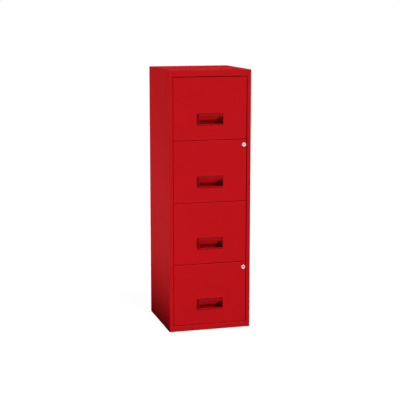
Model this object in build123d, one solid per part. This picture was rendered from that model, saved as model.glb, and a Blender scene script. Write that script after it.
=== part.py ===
"""Four-drawer steel filing cabinet for A4 suspension files, modelled in millimetres.

Origin: centre of the cabinet's outline, on the floor. +Z is up, the drawer fronts face -Y and +X is to
the right of someone standing in front of it. Every sub-part is written to parts/NAME.step.
"""

import os

from build123d import *

# Overall size and sheet metal
WIDTH = 400.0
DEPTH = 400.0
HEIGHT = 1250.0
SHEET = 0.8  # carcass and drawer fronts
THIN = 0.7  # drawer trays
FLOOR_GAP = 3.0  # the carcass stands this high on its glides
SPARE = 1.0  # how far a cutting block runs past the sheet it cuts

# Front frame and drawer fronts
DRAWERS = 4
POST = 19.0  # face width of each front post
POST_RETURN = 15.0  # depth of the fold behind each post
TOP_RAIL = 30.4
BASE_RAIL = 27.0
RAIL_FOLD = 12.0  # depth of the fold behind the top and base rails
REAR_FLANGE = 14.0  # width of the fold that carries the back panel
BACK_MARGIN = 0.6
SKIRT_DROP = 12.0  # skirts under the lid, which locate it between the sides
SKIRT_ENDS = 20.0
GAP = 2.0  # around every drawer front
INSET = 3.0  # drawer fronts sit this far behind the frame
PAN = 24.0  # depth of the hollow drawer front

RIGHT = WIDTH / 2
FRONT = -DEPTH / 2
REAR = DEPTH / 2
TOP = HEIGHT - SHEET  # top of the side and back panels, under the lid
BAYS = (FLOOR_GAP + BASE_RAIL, HEIGHT - TOP_RAIL)  # clear height between the rails
FACE_HEIGHT = (BAYS[1] - BAYS[0] - (DRAWERS + 1) * GAP) / DRAWERS
FACE_WIDTH = WIDTH - 2 * POST - 2 * GAP
FACE = FRONT + INSET  # outer face of the drawer fronts
WALL = FACE + PAN  # front of the wall that closes each drawer front

# Base and glides
FLOOR_PLATE = 8.0  # underside of the base sheet
GLIDE_RADIUS = 15.0
GLIDE_STEM = 4.0
GLIDE_STEM_TOP = 15.0
GLIDE_PLACE = (165.0, 165.0)

# Slides: three nested channels on each side of a drawer
TRAY_HALF = 165.0  # outside of a tray's side, so files hang on rails 330 apart
SLIDE_WIDTH = 13.2
SLIDE_STEEL = 1.2
SLIDE_SPAN = (WALL + 1.5, WALL + 351.5)
SLIDE_BACK = TRAY_HALF + SLIDE_WIDTH  # the slides are fixed here, inside the uprights
SLIDE_RISE = 75.0  # slide centre above a drawer front's lower edge
OUTER_HALF = 22.5  # half heights of the three channels
MIDDLE_HALF = 19.0
INNER_HALF = 15.5
MIDDLE_FACE = 2.5  # from the back of the outer channel to the back of the middle one
CHANNEL_MOUTH = 3.0  # how far the outer and middle channels stop short of the drawer
INNER_DEPTH = 8.3
CAGE_CLEARANCE = 0.1
CAGE_ACROSS = (4.0, 8.0)  # a ball cage's edges, outwards from the tray
CAGE_ENDS = (3.0, 5.0)  # a cage stops this far short of the slide's end and of its middle

# Uprights that carry the slides
UPRIGHT_WIDTH = 40.0
UPRIGHT_PLACES = (-150.0, 140.0)
UPRIGHT_TOP = HEIGHT - 14.0
HOOK_HALF = 5.0
HOOK_RISE = 10.0  # hooks sit this far above and below a slide's centre
HOOK_NECK = 3.0  # half height of a hook's neck
HOOK_LIP = 8.0  # how far a hook reaches down behind the upright
HOOK_STEEL = 1.2
HOOK_CLEARANCE = 0.2
SLOT_MARGIN = 0.5  # around a hook in its slot

# Drawer tray
TRAY_RISE = 20.0  # tray floor above the drawer front's lower edge
TRAY_TOP = 250.0  # hanging edge above the drawer front's lower edge
TRAY_REAR = 178.0
TRAY_LIP = 7.0
TRAY_HEM = 6.0
BACK_TOP = 236.0
BACK_FOLD = 12.0
WALL_MARGIN = 0.1

# Handle, measured from its centre; depth is measured inwards from the drawer's face
HANDLE_RISE = 99.5  # handle centre above the drawer front's lower edge
HANDLE_HALF = (66.0, 29.0)
HANDLE_PROUD = 2.0
HANDLE_WALL = 1.5
HANDLE_CORNER = 4.0
CUP_X = (-53.0, 62.5)
CUP_PROFILE = (  # depth and height of the finger cup, from its upper lip round to its lower lip
    (-0.8, 26.0),
    (1.2, 12.0),
    (5.0, -2.0),
    (8.5, -9.0),
    (20.5, -12.0),
    (20.5, -26.0),
    (1.5, -26.0),
    (1.5, -24.5),
)
SEAT_MARGIN = 1.4  # how far the bezel laps over the hole in the drawer front
LABEL_SLOT_X = (-64.0, -57.5)
LABEL_SLOT_HALF = 24.0
LABEL_SLOT_DEPTH = 7.0
LABEL_SLOT_WALL = 1.0
WINDOW_X = (-51.0, 25.0)
WINDOW_SPAN = (0.12, 0.88)  # part of the cup's sloping panel that the window covers
WINDOW_THICK = 1.6
CARD_RECESS = 0.6
CARD_MARGIN = 2.0
BARB_X = (20.0, 30.0)  # two barbs on top of the cup snap behind the drawer's sheet
BARB_DEPTH = (SHEET + 0.1, 3.0)
BARB_Z = (14.0, 28.1)

# Thumb catch and its latch bar
CATCH_TRAVEL = 5.0
CATCH_TIP = (30.5, -2.5)
CATCH_EDGE_X = 54.5
CATCH_EDGE_Z = (-21.5, 11.0)
CATCH_DEPTH = (-1.4, 1.2)
STEM_X = (41.0, 49.0)
STEM_HALF = 4.0
STEM_MARGIN = 0.5
PEG_X = (43.0, 47.0)
PEG_HALF = 2.0
BAR_STEEL = 1.2
BAR_HALF = 6.0
TONGUE_MARGIN = 0.6  # around the bar's tongue in the front's side
BAR_BEHIND_CUP = WALL - 1.6  # front face of the bar where it passes behind the cup
BAR_AT_POST = FRONT + POST_RETURN + 1.4  # front face of the bar where it meets the post
BAR_X = (36.0, 78.0, 90.0, RIGHT - POST - 1.0)  # start, bend, bend, tongue

# Cam locks, one in the second drawer and one in the fourth
LOCK_X = 166.5
LOCK_DROP = 24.7  # below the drawer front's upper edge
LOCK_RIM = 9.5
LOCK_RIM_PROUD = 2.2
LOCK_BODY = 8.0
LOCK_BODY_LENGTH = 15.0
LOCK_HOLE = 8.1
PLUG = 5.5
PLUG_BORE = 5.58
PLUG_PROUD = 1.8
PLUG_BEHIND = 0.2
KEYWAY = (1.2, 7.0, 8.0)
NUT_ACROSS = 20.0
NUT_BORE = 8.05
NUT_THICK = 3.0
CAM_STEEL = 2.0
CAM_START = FACE + LOCK_BODY_LENGTH + 2 * PLUG_BEHIND
CAM_WIDTH = 7.0
CAM_HUB = 7.0
SHORT_ARM = 20.0  # turns behind the right post
LONG_ARM = 36.0  # turns up in front of the wall of the drawer above
SHORT_ARM_SWEEP = (-5.0, 20.0)  # slot in the front's side, above and below the lock's axis
LONG_ARM_SWEEP = (-33.0, 5.0)  # slots in the folds that the long arm turns through, across from the axis
TAIL = 3.0  # half width of the plug's square tail
SCREW_HEAD = 4.5
SCREW_THICK = 2.5

AXIS_PLANES = {"X": Plane.YZ, "Y": Plane.XZ, "Z": Plane.XY}


def block(x, y, z):
    """A box given by its low and high ends along X, Y and Z."""
    ends = (x, y, z)
    middle = [(low + high) / 2 for low, high in ends]
    return Pos(*middle) * Box(*[high - low for low, high in ends])


def prism(outline, axis, span):
    """A flat outline carried along an axis. Its points are the other two coordinates, in order."""
    low, high = span
    plane = AXIS_PLANES[axis]
    start = -high if axis == "Y" else low
    face = plane.offset(start) * make_face(Polyline(*outline, close=True))
    return extrude(face, high - low, dir=plane.z_dir)


def disc(axis, centre, radius, span):
    """A round bar along an axis. The centre is its other two coordinates, in order."""
    low, high = span
    plane = AXIS_PLANES[axis]
    start = -high if axis == "Y" else low
    face = plane.offset(start) * Pos(*centre) * Circle(radius)
    return extrude(face, high - low, dir=plane.z_dir)


def thickened(path, thickness):
    """Outline of a sheet folded along a path of points. It lies on the path's left, with mitred bends."""
    points = [Vector(*p) for p in path]
    ways = [(b - a).normalized() for a, b in zip(points, points[1:])]
    normals = [Vector(-way.Y, way.X) for way in ways]
    inner = []
    for point, before, after in zip(points, normals[:1] + normals, normals + normals[-1:]):
        mitre = (before + after) * (thickness / (1 + before.dot(after)))
        inner.append(point + mitre)
    return [(p.X, p.Y) for p in points + inner[::-1]]


def folded(path, thickness, axis, span):
    """A sheet folded along a path and carried along an axis."""
    return prism(thickened(path, thickness), axis, span)


def mirrored(shape):
    """The same shape on the other side of the cabinet."""
    return mirror(shape, about=Plane.YZ)


def front_span(drawer):
    """Lower and upper edge of a drawer front. Drawer 1 is the top one."""
    low = BAYS[0] + GAP + (DRAWERS - drawer) * (FACE_HEIGHT + GAP)
    return low, low + FACE_HEIGHT


def handle_height(drawer):
    return front_span(drawer)[0] + HANDLE_RISE


def lock_height(drawer):
    return front_span(drawer)[1] - LOCK_DROP


# Carcass


def right_side_panel():
    """Side sheet with the front post folded into it and a flange for the back panel."""
    path = (
        (RIGHT - POST, FRONT + POST_RETURN),
        (RIGHT - POST, FRONT),
        (RIGHT, FRONT),
        (RIGHT, REAR - SHEET),
        (RIGHT - REAR_FLANGE, REAR - SHEET),
    )
    return folded(path, SHEET, "Z", (FLOOR_GAP, TOP))


def back_panel():
    half = RIGHT - BACK_MARGIN
    return block((-half, half), (REAR - SHEET, REAR), (FLOOR_GAP + BACK_MARGIN, TOP))


def top_panel():
    """Lid with the front rail folded under it and skirts that locate it inside the sides."""
    lid = block((-RIGHT, RIGHT), (FRONT, REAR), (TOP, HEIGHT))
    rail_path = (
        (FRONT + RAIL_FOLD, BAYS[1] + SHEET),
        (FRONT + SHEET, BAYS[1] + SHEET),
        (FRONT + SHEET, TOP),
    )
    rail = folded(rail_path, SHEET, "X", (POST - RIGHT, RIGHT - POST))
    skirt_along = (FRONT + SKIRT_ENDS, REAR - SKIRT_ENDS)
    skirt = block((RIGHT - 2 * SHEET, RIGHT - SHEET), skirt_along, (TOP - SKIRT_DROP, TOP))
    return lid + rail + skirt + mirrored(skirt)


def base_panel():
    """Floor sheet with a boxed front rail and flanges down to the sides' lower edges."""
    half = RIGHT - SHEET
    floor_front = FRONT + POST_RETURN + SPARE
    floor_rear = REAR - 2 * SHEET
    rail_path = (
        (floor_front, FLOOR_PLATE),
        (floor_front, BAYS[0]),
        (FRONT, BAYS[0]),
        (FRONT, FLOOR_GAP),
        (FRONT + RAIL_FOLD, FLOOR_GAP),
    )
    rail = folded(rail_path, SHEET, "X", (POST - RIGHT, RIGHT - POST))
    floor = block((-half, half), (floor_front - SHEET, floor_rear), (FLOOR_PLATE, FLOOR_PLATE + SHEET))
    flange = block((half - SHEET, half), (floor_front, floor_rear), (FLOOR_GAP, FLOOR_PLATE))
    rear_flange = block((-half, half), (floor_rear - SHEET, floor_rear), (FLOOR_GAP, FLOOR_PLATE))
    base = rail + floor + flange + mirrored(flange) + rear_flange
    for x, y in glide_places():
        base -= disc("Z", (x, y), GLIDE_STEM, (FLOOR_GAP, BAYS[0]))
    return base


def glide_places():
    across, along = GLIDE_PLACE
    return [(x, y) for x in (-across, across) for y in (-along, along)]


def floor_glides():
    """Four nylon glides, each a round foot with a stem pressed up through the base."""
    glides = []
    for x, y in glide_places():
        foot = disc("Z", (x, y), GLIDE_RADIUS, (0, FLOOR_PLATE))
        stem = disc("Z", (x, y), GLIDE_STEM, (FLOOR_PLATE, GLIDE_STEM_TOP))
        glides.append(foot + stem)
    return glides


def slide_uprights():
    """Four channels welded inside the side panels, punched with slots for the slides' hooks."""
    uprights = []
    for y in UPRIGHT_PLACES:
        low, high = y - UPRIGHT_WIDTH / 2, y + UPRIGHT_WIDTH / 2
        path = ((RIGHT - SHEET, high), (SLIDE_BACK, high), (SLIDE_BACK, low), (RIGHT - SHEET, low))
        upright = folded(path, SHEET, "Z", (FLOOR_PLATE + SHEET, UPRIGHT_TOP))
        half = HOOK_HALF + SLOT_MARGIN
        through = (SLIDE_BACK - SPARE, SLIDE_BACK + SPARE)
        for drawer in range(1, DRAWERS + 1):
            centre = front_span(drawer)[0] + SLIDE_RISE
            for z in (centre - HOOK_RISE, centre + HOOK_RISE):
                slot = (z - HOOK_LIP - SLOT_MARGIN, z + HOOK_NECK + SLOT_MARGIN)
                upright -= block(through, (y - half, y + half), slot)
        uprights += [upright, mirrored(upright)]
    return uprights


# Slides


def channel(back, mouth, half, span):
    """A channel along Y whose web stands at X = back and whose mouth is at X = mouth."""
    path = [(mouth, half), (back, half), (back, -half), (mouth, -half)]
    if mouth < back:
        path.reverse()
    return folded(path, SLIDE_STEEL, "Y", span)


def at_slide(shape, drawer):
    """Both sides' copies of a right-hand slide member, at a drawer's height."""
    right = Pos(0, 0, front_span(drawer)[0] + SLIDE_RISE) * shape
    return [right, mirrored(right)]


def cabinet_rails(drawer):
    """Outer channels, hooked into the uprights."""
    rail = channel(SLIDE_BACK, TRAY_HALF + CHANNEL_MOUTH, OUTER_HALF, SLIDE_SPAN)
    behind = SLIDE_BACK + SHEET + HOOK_CLEARANCE
    reach = behind + HOOK_STEEL
    for y in UPRIGHT_PLACES:
        along = (y - HOOK_HALF, y + HOOK_HALF)
        for z in (-HOOK_RISE, HOOK_RISE):
            rail += block((SLIDE_BACK, reach), along, (z - HOOK_NECK, z + HOOK_NECK))
            rail += block((behind, reach), along, (z - HOOK_LIP, z - HOOK_NECK))
    return at_slide(rail, drawer)


def middle_rails(drawer):
    """Middle channels with the cages that hold their bearing balls, each cage a solid of its own."""
    back = SLIDE_BACK - MIDDLE_FACE
    members = at_slide(channel(back, TRAY_HALF + CHANNEL_MOUTH, MIDDLE_HALF, SLIDE_SPAN), drawer)
    middle = sum(SLIDE_SPAN) / 2
    at_end, at_middle = CAGE_ENDS
    across = [TRAY_HALF + x for x in CAGE_ACROSS]
    cages = (
        (OUTER_HALF - SLIDE_STEEL, MIDDLE_HALF, (middle + at_middle, SLIDE_SPAN[1] - at_end)),
        (MIDDLE_HALF - SLIDE_STEEL, INNER_HALF, (SLIDE_SPAN[0] + at_end, middle - at_middle)),
    )
    for outside, inside, along in cages:
        height = (inside + CAGE_CLEARANCE, outside - CAGE_CLEARANCE)
        upper = block(across, along, height)
        members += at_slide(upper, drawer) + at_slide(mirror(upper, about=Plane.XY), drawer)
    return members


def drawer_rails(drawer):
    """Inner channels, fixed to the tray's sides."""
    return at_slide(channel(TRAY_HALF, TRAY_HALF + INNER_DEPTH, INNER_HALF, SLIDE_SPAN), drawer)


# Drawer body


def has_lock(drawer):
    return drawer % 2 == 0


def drawer_front(drawer):
    """Hollow pressed front: a face with four deep folds, cut out for the handle, the latch and the lock."""
    low, high = front_span(drawer)
    half = FACE_WIDTH / 2
    inner = half - SHEET
    pan = block((-half, half), (FACE, WALL), (low, high))
    pan -= block((-inner, inner), (FACE + SHEET, WALL + SPARE), (low + SHEET, high - SHEET))
    through_face = (FACE - SPARE, FACE + SPARE)
    through_side = (half - SPARE, half + SPARE)
    seat = [size - SEAT_MARGIN for size in HANDLE_HALF]
    centre = handle_height(drawer)
    pan -= block((-seat[0], seat[0]), through_face, (centre - seat[1], centre + seat[1]))
    tongue = (BAR_AT_POST - TONGUE_MARGIN, BAR_AT_POST + BAR_STEEL + TONGUE_MARGIN)
    tongue_half = BAR_HALF + SPARE
    pan -= block(through_side, tongue, (centre - tongue_half, centre + tongue_half))
    cam = (CAM_START - SPARE, CAM_START + CAM_STEEL + SPARE)
    swept = (LOCK_X + LONG_ARM_SWEEP[0], LOCK_X + LONG_ARM_SWEEP[1])
    if has_lock(drawer):
        axis = lock_height(drawer)
        pan -= disc("Y", (LOCK_X, axis), LOCK_HOLE, through_face)
        pan -= block(through_side, cam, (axis + SHORT_ARM_SWEEP[0], axis + SHORT_ARM_SWEEP[1]))
        pan -= block(swept, cam, (high - SPARE, high + SPARE))
    else:
        pan -= block(swept, cam, (low - SPARE, low + SPARE))
    return pan


def drawer_wall(drawer):
    """Sheet that closes the hollow front and carries the tray."""
    low, high = front_span(drawer)
    half = FACE_WIDTH / 2 - WALL_MARGIN
    return block((-half, half), (WALL, WALL + SHEET), (low + WALL_MARGIN, high - WALL_MARGIN))


def drawer_tray(drawer):
    """Floor and sides folded from one sheet. The upper edges turn out and down to carry the files."""
    low = front_span(drawer)[0]
    floor, top = low + TRAY_RISE, low + TRAY_TOP
    path = (
        (TRAY_HALF + TRAY_LIP, top - TRAY_HEM),
        (TRAY_HALF + TRAY_LIP, top),
        (TRAY_HALF - THIN, top),
        (TRAY_HALF - THIN, floor + THIN),
        (0, floor + THIN),
    )
    outline = [
        (0, floor),
        (TRAY_HALF, floor),
        (TRAY_HALF, top - THIN),
        (TRAY_HALF + TRAY_LIP - THIN, top - THIN),
        (TRAY_HALF + TRAY_LIP - THIN, top - TRAY_HEM),
        *path,
    ]
    half = prism(outline, "Y", (WALL + SHEET, TRAY_REAR))
    return half + mirrored(half)


def drawer_back(drawer):
    """Rear wall between the tray's sides, with a folded upper edge."""
    low = front_span(drawer)[0]
    half = TRAY_HALF - THIN
    path = (
        (TRAY_REAR, low + TRAY_RISE + THIN),
        (TRAY_REAR, low + BACK_TOP),
        (TRAY_REAR - BACK_FOLD, low + BACK_TOP),
    )
    return folded(path, THIN, "X", (-half, half))


# Handle


def cup_shell_outline():
    """The cup's outside as Y and offset Z: its profile grown by the wall's thickness."""
    path = [*CUP_PROFILE[:-2], (0, CUP_PROFILE[-2][1])]
    outside = thickened(path, HANDLE_WALL)[len(path) :]
    outside.append((0, outside[-1][1]))
    return [(FACE + depth, height) for depth, height in outside]


def cup_space_outline():
    """The space inside the cup as Y and offset Z, run out past the bezel's face."""
    ahead = -HANDLE_PROUD - SPARE
    profile = [(ahead, CUP_PROFILE[0][1]), *CUP_PROFILE, (ahead, CUP_PROFILE[-1][1])]
    return [(FACE + depth, height) for depth, height in profile]


def handle(drawer):
    """Moulded recessed grip: a bezel, a finger cup behind it and a slot for a label card on the left."""
    half_x, half_z = HANDLE_HALF
    proud, behind = FACE - HANDLE_PROUD, FACE
    grip = block((-half_x, half_x), (proud, behind), (-half_z, half_z))
    grip = fillet(grip.edges().filter_by(Axis.Y), HANDLE_CORNER)
    cup_x = (CUP_X[0] - HANDLE_WALL, CUP_X[1] + HANDLE_WALL)
    grip += prism(cup_shell_outline(), "X", cup_x)
    low_x, high_x = LABEL_SLOT_X
    pocket_half = LABEL_SLOT_HALF + LABEL_SLOT_WALL
    pocket_y = (behind, FACE + LABEL_SLOT_DEPTH + LABEL_SLOT_WALL)
    grip += block((low_x, CUP_X[0]), pocket_y, (-pocket_half, pocket_half))
    for sign in (-1, 1):
        barb_x = sorted(sign * x for x in BARB_X)
        grip += block(barb_x, (FACE + BARB_DEPTH[0], FACE + BARB_DEPTH[1]), BARB_Z)
    grip -= prism(cup_space_outline(), "X", CUP_X)
    slot_y = (proud - SPARE, FACE + LABEL_SLOT_DEPTH)
    grip -= block((low_x + LABEL_SLOT_WALL, high_x), slot_y, (-LABEL_SLOT_HALF, LABEL_SLOT_HALF))
    stem_x = (STEM_X[0] - STEM_MARGIN, STEM_X[1] + CATCH_TRAVEL + STEM_MARGIN)
    stem_half = STEM_HALF + STEM_MARGIN
    grip -= block(stem_x, (FACE + CATCH_DEPTH[1] + SPARE, WALL), (-stem_half, stem_half))
    return Pos(0, 0, handle_height(drawer)) * grip


def label_window(drawer):
    """Clear strip on the cup's sloping panel, with a shallow recess behind it for a card."""
    upper, lower = (Vector(FACE + depth, height) for depth, height in CUP_PROFILE[:2])
    start, end = (upper + (lower - upper) * share for share in WINDOW_SPAN)
    slope = (lower - upper).normalized()
    out = Vector(slope.Y, -slope.X)

    def slab(first, last, near, far, x):
        corners = [first + out * near, last + out * near, last + out * far, first + out * far]
        return prism([(corner.X, corner.Y) for corner in corners], "X", x)

    strip = slab(start, end, 0, WINDOW_THICK, WINDOW_X)
    margin = slope * CARD_MARGIN
    card_x = (WINDOW_X[0] - SPARE, WINDOW_X[1] - CARD_MARGIN)
    strip -= slab(start + margin, end - margin, -SPARE, CARD_RECESS, card_x)
    return Pos(0, 0, handle_height(drawer)) * strip


def thumb_catch(drawer):
    """Triangular thumb slide, with a stem through the cup and a peg that drives the latch bar."""
    arrow = (CATCH_TIP, (CATCH_EDGE_X, CATCH_EDGE_Z[0]), (CATCH_EDGE_X, CATCH_EDGE_Z[1]))
    near, far = (FACE + depth for depth in CATCH_DEPTH)
    catch = prism(arrow, "Y", (near, far))
    catch += block(STEM_X, (far, BAR_BEHIND_CUP), (-STEM_HALF, STEM_HALF))
    catch += block(PEG_X, (BAR_BEHIND_CUP, BAR_BEHIND_CUP + BAR_STEEL), (-PEG_HALF, PEG_HALF))
    return Pos(0, 0, handle_height(drawer)) * catch


def latch_bar(drawer):
    """Steel strip from the thumb catch to the right-hand edge of the drawer front."""
    start, bend_back, bend_front, tongue = BAR_X
    path = (
        (start, BAR_BEHIND_CUP),
        (bend_back, BAR_BEHIND_CUP),
        (bend_front, BAR_AT_POST),
        (tongue, BAR_AT_POST),
    )
    bar = folded(path, BAR_STEEL, "Z", (-BAR_HALF, BAR_HALF))
    through = (BAR_BEHIND_CUP - SPARE, BAR_BEHIND_CUP + BAR_STEEL + SPARE)
    bar -= block(PEG_X, through, (-PEG_HALF, PEG_HALF))
    return Pos(0, 0, handle_height(drawer)) * bar


# Locks


def lock_barrel(drawer):
    centre = (LOCK_X, lock_height(drawer))
    barrel = disc("Y", centre, LOCK_RIM, (FACE - LOCK_RIM_PROUD, FACE))
    barrel += disc("Y", centre, LOCK_BODY, (FACE, FACE + LOCK_BODY_LENGTH))
    return barrel - disc("Y", centre, PLUG_BORE, (FRONT, WALL))


def lock_nut(drawer):
    centre = (LOCK_X, lock_height(drawer))
    span = (FACE + SHEET, FACE + SHEET + NUT_THICK)
    plane = Plane.XZ.offset(-span[1])
    outline = RegularPolygon(NUT_ACROSS / 2, 6, major_radius=False, rotation=30)
    nut = extrude(plane * Pos(*centre) * outline, NUT_THICK, dir=plane.z_dir)
    return nut - disc("Y", centre, NUT_BORE, (FACE, WALL))


def lock_plug(drawer):
    """Plug with a keyway in its face and a square tail for the cam."""
    axis = lock_height(drawer)
    face = FACE - PLUG_PROUD
    rear = FACE + LOCK_BODY_LENGTH + PLUG_BEHIND
    plug = disc("Y", (LOCK_X, axis), PLUG, (face, rear))
    plug += block((LOCK_X - TAIL, LOCK_X + TAIL), (rear, CAM_START + CAM_STEEL), (axis - TAIL, axis + TAIL))
    wide, tall, deep = KEYWAY
    slot_x = (LOCK_X - wide / 2, LOCK_X + wide / 2)
    return plug - block(slot_x, (face - SPARE, face + deep), (axis - tall / 2, axis + tall / 2))


def lock_cam(drawer):
    """Two-armed cam and its screw. Unlocked, the short arm stands up and the long arm lies to the left."""
    axis = lock_height(drawer)
    along = (CAM_START, CAM_START + CAM_STEEL)
    half = CAM_WIDTH / 2
    cam = disc("Y", (LOCK_X, axis), CAM_HUB, along)
    cam += block((LOCK_X - half, LOCK_X + half), along, (axis, axis + SHORT_ARM))
    cam += block((LOCK_X - LONG_ARM, LOCK_X), along, (axis - half, axis + half))
    cam -= block((LOCK_X - TAIL, LOCK_X + TAIL), (FACE, WALL), (axis - TAIL, axis + TAIL))
    screw = disc("Y", (LOCK_X, axis), SCREW_HEAD, (along[1], along[1] + SCREW_THICK))
    return [cam, screw]


def write(name, shapes):
    """Writes one sub-part, as one solid or as a group of separate solids."""
    group = shapes if isinstance(shapes, list) else [shapes]
    solids = [solid for shape in group for solid in shape.solids()]
    if len(solids) != len(group):
        raise ValueError(f"{name} has come apart into {len(solids)} solids")
    export_step(Compound(children=solids), f"parts/{name}.step")


def main():
    os.makedirs("parts", exist_ok=True)
    write("right_side_panel", right_side_panel())
    write("left_side_panel", mirrored(right_side_panel()))
    write("back_panel", back_panel())
    write("top_panel", top_panel())
    write("base_panel", base_panel())
    write("slide_uprights", slide_uprights())
    write("floor_glides", floor_glides())
    pieces = {
        "cabinet_rails": cabinet_rails,
        "middle_rails": middle_rails,
        "rails": drawer_rails,
        "front": drawer_front,
        "wall": drawer_wall,
        "tray": drawer_tray,
        "back": drawer_back,
        "handle": handle,
        "label_window": label_window,
        "thumb_catch": thumb_catch,
        "latch_bar": latch_bar,
    }
    for drawer in range(1, DRAWERS + 1):
        for piece, make in pieces.items():
            write(f"drawer_{drawer}_{piece}", make(drawer))
        if has_lock(drawer):
            lock = "upper_lock" if drawer == 2 else "lower_lock"
            write(f"{lock}_barrel", lock_barrel(drawer))
            write(f"{lock}_nut", lock_nut(drawer))
            write(f"{lock}_plug", lock_plug(drawer))
            write(f"{lock}_cam", lock_cam(drawer))


main()
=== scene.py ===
"""Looks of a four-drawer steel filing cabinet, laid out as an add-on and run as a script.

Lengths are in metres, in the cabinet's own frame: +Z up, drawer fronts towards -Y, origin on the floor.
Every shell is worked out as whole arrays of points, and each piece rides on the body that carries it.
"""

import math

import bpy
import numpy as np
from bpy.props import FloatProperty, FloatVectorProperty, IntProperty, PointerProperty
from bpy.types import Operator, Panel, PropertyGroup
from mathutils import Euler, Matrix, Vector


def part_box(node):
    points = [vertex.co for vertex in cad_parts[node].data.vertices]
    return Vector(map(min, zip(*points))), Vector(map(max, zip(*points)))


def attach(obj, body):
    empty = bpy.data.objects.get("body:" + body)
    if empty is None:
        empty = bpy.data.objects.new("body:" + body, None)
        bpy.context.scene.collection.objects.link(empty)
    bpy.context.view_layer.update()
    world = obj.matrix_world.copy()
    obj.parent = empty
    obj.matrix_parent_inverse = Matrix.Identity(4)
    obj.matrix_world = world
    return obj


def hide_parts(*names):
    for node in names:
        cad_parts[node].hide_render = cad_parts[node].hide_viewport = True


bl_info = {
    "name": "Steel filing cabinet",
    "version": (1, 0, 0),
    "blender": (4, 5, 0),
    "location": "View3D > Sidebar > Cabinet",
    "description": "Builds the visible shells, finishes and studio of a four-drawer filing cabinet",
    "category": "Add Mesh",
}

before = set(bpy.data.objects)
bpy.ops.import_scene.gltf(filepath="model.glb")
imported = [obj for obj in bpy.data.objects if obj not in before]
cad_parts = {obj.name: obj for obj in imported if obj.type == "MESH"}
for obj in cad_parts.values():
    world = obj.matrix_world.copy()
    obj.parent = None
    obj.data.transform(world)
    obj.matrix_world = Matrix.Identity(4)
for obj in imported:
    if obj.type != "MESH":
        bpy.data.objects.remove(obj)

DRAWERS = (1, 2, 3, 4)
LOCKS = {"upper_lock": 2, "lower_lock": 4}
SHARP_ANGLE = math.radians(32)  # facets that meet at more than this have a crisp edge between them

# Drawer front
FRONT_CORNER, HOLE_CORNER = 0.0022, 0.0028
GRIP_LAP = 0.0014  # how far the grip's bezel laps over the hole for it
FACE_EDGE = 0.0004  # width of the flat strip between a fold and the face
CAM_PLANE = (0.0144, 0.0184)  # windows in the folds for the lock cam, behind the face
SHORT_SWEEP, LONG_SWEEP = (-0.005, 0.020), (-0.033, 0.005)  # their spans, from the lock's axis

# Grip, measured from its centre: X, depth behind the drawer front's face, height
CUP_X = (-0.053, 0.0625)
CUP_TOP = ((-0.0008, 0.026), (0.0012, 0.012), (0.0050, -0.002), (0.0085, -0.0090), (0.0204, -0.0120))
CUP_LIP, CUP_FLOOR = -0.0245, -0.026
CUP_BEND = 0.008  # outside radius of the bends in the cup's upper side
LIP_DEPTH = 0.0015
LIP_STEP = 0.0004  # depth over which the lip drops to the floor
BEZEL_HALF = 0.029
CUP_BEZEL_X = (-0.0562, 0.066)
SLOT_BEZEL_END = -0.0566
SLOT_HALF = 0.0242
STRIP_X = (-0.0505, 0.0245)
STRIP_SPAN = (0.14, 0.86)  # share of the sloping panel that the label strip covers
CATCH_TIP, CATCH_LOW, CATCH_HIGH = (0.0305, -0.0025), (0.0545, -0.0215), (0.0545, 0.011)
# Painted shade: between these depths behind the face, the grip's plastic is painted darker to stand in for
# the shade deep in the recess
RECESS_PAINTED_SHADE = (0.012, 0.019)  # depths between which the recess grows darker

# Facets in the corners of an outline, and points down its left side
ARC_STEPS, SIDE_POINTS = 6, 8
# The points at which an outline's bottom, right and top sides start
SIDE_STARTS = [SIDE_POINTS + arcs * (ARC_STEPS + 1) - 1 for arcs in (2, 3, 4)]
BOTTOM, RIGHT, TOP = range(3)

SUN_ANGLE = math.radians(40)
CAMERA_PLACE = (-1.423, -5.1443, 1.5301)
CAMERA_TURN = (80.155, -0.005, -15.515)  # degrees about X, Y and Z
CAMERA_LENS = 99.207


def corners(node):
    """Lowest and highest corner of a CAD node, as two arrays."""
    low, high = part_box(node)
    return np.array(low), np.array(high)


def length(name, description, default):
    """A size property in metres."""
    kind = {"unit": "LENGTH", "subtype": "DISTANCE"}
    return FloatProperty(name=name, description=description, default=default, **kind)


def colour(name, description, default):
    """A linear colour property."""
    return FloatVectorProperty(name=name, description=description, default=default, subtype="COLOR", size=3)


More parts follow.
